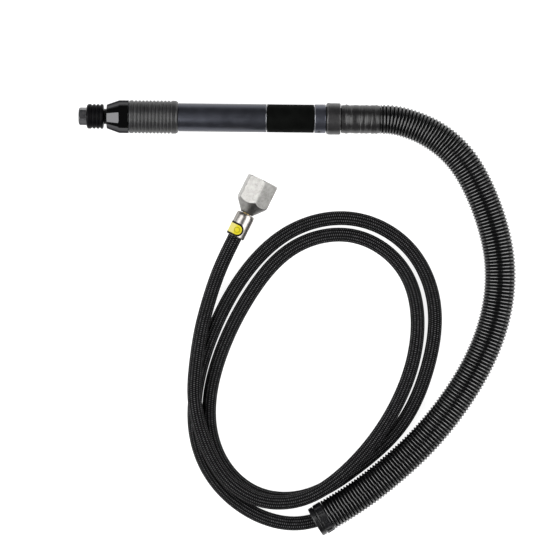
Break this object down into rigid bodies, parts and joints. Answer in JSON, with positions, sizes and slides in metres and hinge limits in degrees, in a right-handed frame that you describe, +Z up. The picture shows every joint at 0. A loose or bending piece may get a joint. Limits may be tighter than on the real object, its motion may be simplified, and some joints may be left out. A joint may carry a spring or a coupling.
{
  "type": "pneumatic pencil grinder",
  "caption": "Slim air-driven pencil grinder with a hex collet nut, ribbed rubber grip and twist throttle, a corrugated exhaust overhose and a coiled braided air hose that ends in a hex fitting.",
  "frame": {"origin": "under the middle of the tool's length, on the surface it lies on", "axes": "+X along the tool from the collet towards the hose, +Z up from the surface it lies on"},
  "size_m": [0.2486, 0.2458, 0.0194],
  "materials": {
    "nut_steel": "darkened, satin",
    "tool_steel": "ground",
    "chuck_black": "black, semi-gloss",
    "nose_black": "black, glossy",
    "gunmetal": "dark anodised",
    "grip_rubber": "matt, ribbed",
    "sleeve_black": "matt",
    "cuff_rubber": "satin",
    "overhose_black": "glossy, corrugated",
    "hose_braid": "braided, with pale flecks",
    "fitting_steel": "satin nickel",
    "brass": "machined",
    "vane_composite": "pressed fibre"
  },
  "bodies": {
    "handle": {"housing": "gunmetal", "nose_cap": "nose_black", "rubber_grip": "grip_rubber", "rear_ring": "gunmetal", "set_screw": "tool_steel", "wave_washer": "tool_steel", "front_bearing_outer": "tool_steel", "front_end_plate": "tool_steel", "cylinder_liner": "tool_steel", "rear_end_plate": "tool_steel", "rear_bearing_outer": "tool_steel", "bearing_retainer": "tool_steel", "inlet_body": "brass", "o_ring_front": "cuff_rubber", "o_ring_rear": "cuff_rubber", "exhaust_muffler": "vane_composite", "overhose_spigot": "sleeve_black", "crimp_collar": "brass", "rubber_cuff": "cuff_rubber", "shrink_sleeve": "cuff_rubber", "overhose": "overhose_black", "end_clamp": "overhose_black", "air_hose": "hose_braid", "crimp_ferrule": "fitting_steel", "hose_stem": "brass", "seal_washer": "cuff_rubber"},
    "rotor": {"spindle": "tool_steel", "vane_1": "vane_composite", "vane_2": "vane_composite", "vane_3": "vane_composite", "vane_4": "vane_composite", "front_bearing_inner": "tool_steel", "rear_bearing_inner": "tool_steel", "rear_lock_nut": "brass", "chuck_body": "chuck_black"},
    "front_cage": {"front_ball_cage": "tool_steel"},
    "rear_cage": {"rear_ball_cage": "tool_steel"},
    "collet_carriage": {"collet": "tool_steel"},
    "clamping_nut": {"collet_nut": "nut_steel"},
    "throttle": {"throttle_sleeve": "sleeve_black", "throttle_valve": "brass", "throttle_pin": "tool_steel"},
    "hose_swivel": {"swivel_nut": "fitting_steel"}
  },
  "joints": [
    {"name": "spindle_spin", "type": "hinge", "parent": "handle", "child": "rotor", "pos_m": [0, 0, 0.0094], "axis": [1, 0, 0], "continuous": true},
    {"name": "front_cage_spin", "type": "hinge", "parent": "handle", "child": "front_cage", "pos_m": [0, 0, 0.0094], "axis": [1, 0, 0], "continuous": true},
    {"name": "rear_cage_spin", "type": "hinge", "parent": "handle", "child": "rear_cage", "pos_m": [0, 0, 0.0094], "axis": [1, 0, 0], "continuous": true},
    {"name": "collet_slide", "type": "slide", "parent": "rotor", "child": "collet_carriage", "axis": [-1, 0, 0], "range_m": [0, 0.0015]},
    {"name": "collet_nut_turn", "type": "hinge", "parent": "collet_carriage", "child": "clamping_nut", "pos_m": [0, 0, 0.0094], "axis": [-1, 0, 0], "range_deg": [0, 720]},
    {"name": "throttle_turn", "type": "hinge", "parent": "handle", "child": "throttle", "pos_m": [0, 0, 0.0094], "axis": [1, 0, 0], "range_deg": [0, 60]},
    {"name": "fitting_swivel", "type": "hinge", "parent": "handle", "child": "hose_swivel", "pos_m": [0.0039, -0.0673, 0.0098], "axis": [0.4368, 0.8996, 0], "continuous": true}
  ],
  "couplings": [
    {"joint": "front_cage_spin", "follows": "spindle_spin", "ratio": 0.3947},
    {"joint": "rear_cage_spin", "follows": "spindle_spin", "ratio": 0.3837},
    {"joint": "collet_nut_turn", "follows": "collet_slide", "rad_per_m": 8377.6}
  ]
}
